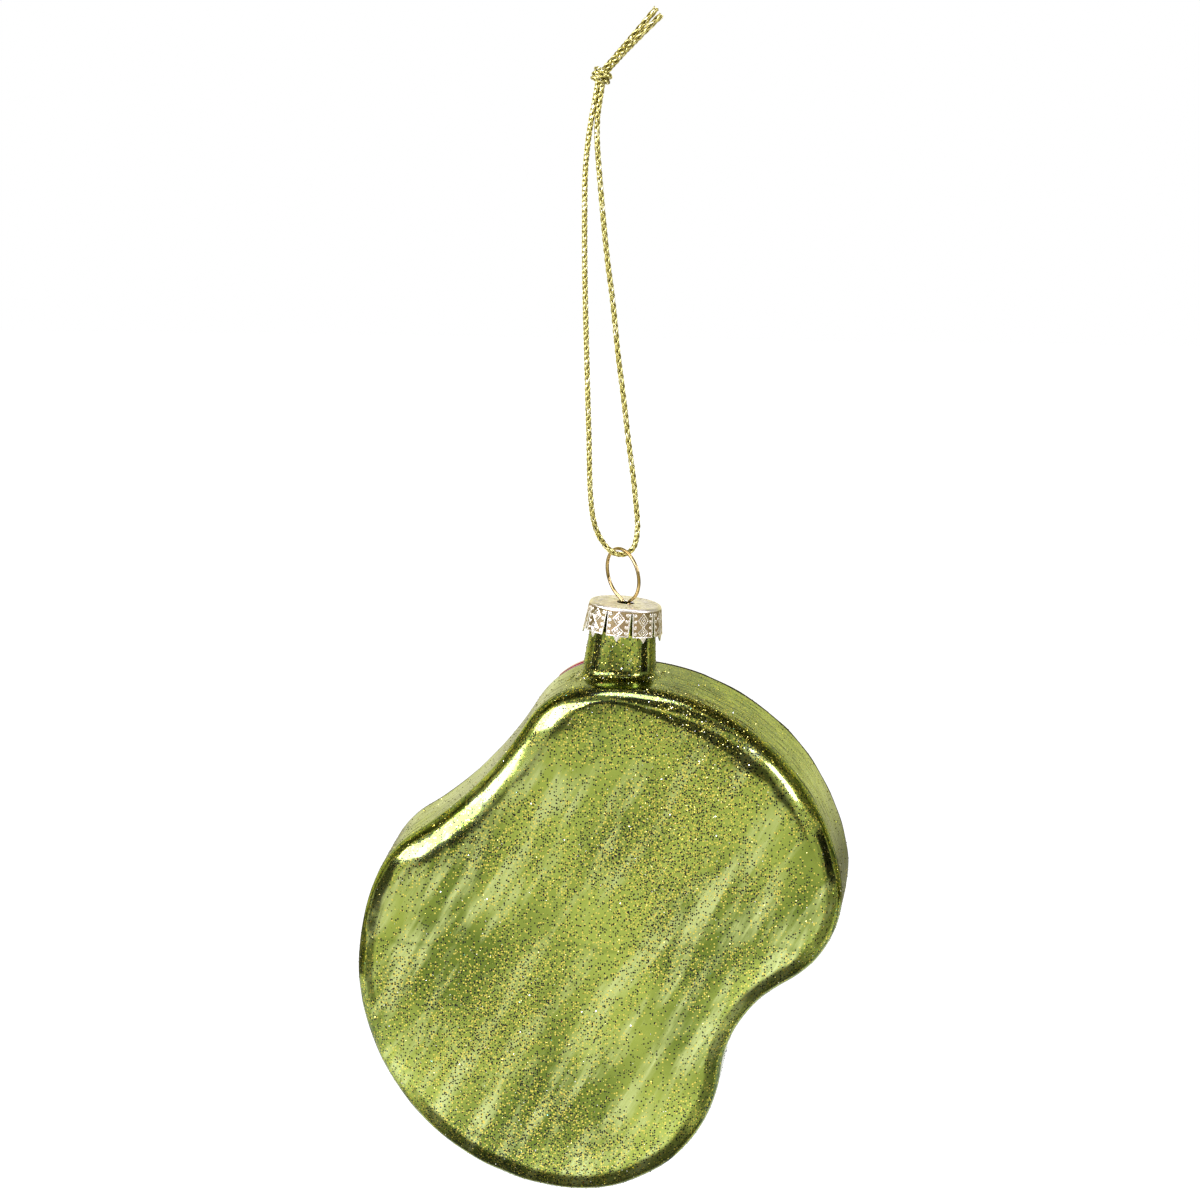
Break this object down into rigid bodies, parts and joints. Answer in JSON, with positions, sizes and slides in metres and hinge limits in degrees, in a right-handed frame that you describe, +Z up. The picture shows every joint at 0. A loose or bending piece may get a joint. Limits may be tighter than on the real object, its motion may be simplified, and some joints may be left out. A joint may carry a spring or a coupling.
{
  "type": "hanging ornament",
  "caption": "Kidney-shaped silvered glass putting green ornament with a gold crown cap, a sprung wire eye and a metallic cord loop to hang it by.",
  "frame": {"origin": "hanging point, inside the cord loop just under its knot", "axes": "+Z up along gravity as the ornament hangs, +X to the right lobe, +Y out of the relief face, -Y out of the flat back"},
  "size_m": [0.0801, 0.0345, 0.1956],
  "materials": {
    "green_glass": "clear green lacquer over silvered blown glass, gold glitter",
    "cap_gold": "pale gold stamped sheet",
    "wire_gold": "bright gold wire",
    "cord_gold": "metallic gold braid",
    "red_enamel": "red enamel on glass relief",
    "white_enamel": "white enamel on glass relief",
    "dark_enamel": "dark enamel on glass relief"
  },
  "bodies": {
    "cord": {"cord_loop": "cord_gold", "cord_knot": "cord_gold", "cord_tails": "cord_gold"},
    "hanger": {"hanger_wire": "wire_gold"},
    "cap": {"crown_cap": "cap_gold"},
    "glass": {"glass_body": "green_glass", "flag": "red_enamel", "flagstick": "white_enamel", "hole_cup": "dark_enamel", "golf_ball": "white_enamel"}
  },
  "joints": [
    {"name": "hang_swing", "type": "hinge", "parent": "cord", "child": "hanger", "pos_m": [0.0034, 0, -0.0768], "axis": [1, 0, 0], "range_deg": [-60, 60]},
    {"name": "cap_turn", "type": "hinge", "parent": "hanger", "child": "cap", "pos_m": [0.00426, 0, -0.08481], "axis": [0.0958, 0, 0.9954], "continuous": true},
    {"name": "pull_off", "type": "slide", "parent": "cap", "child": "glass", "axis": [-0.0958, 0, -0.9954], "range_m": [0, 0.015]}
  ]
}
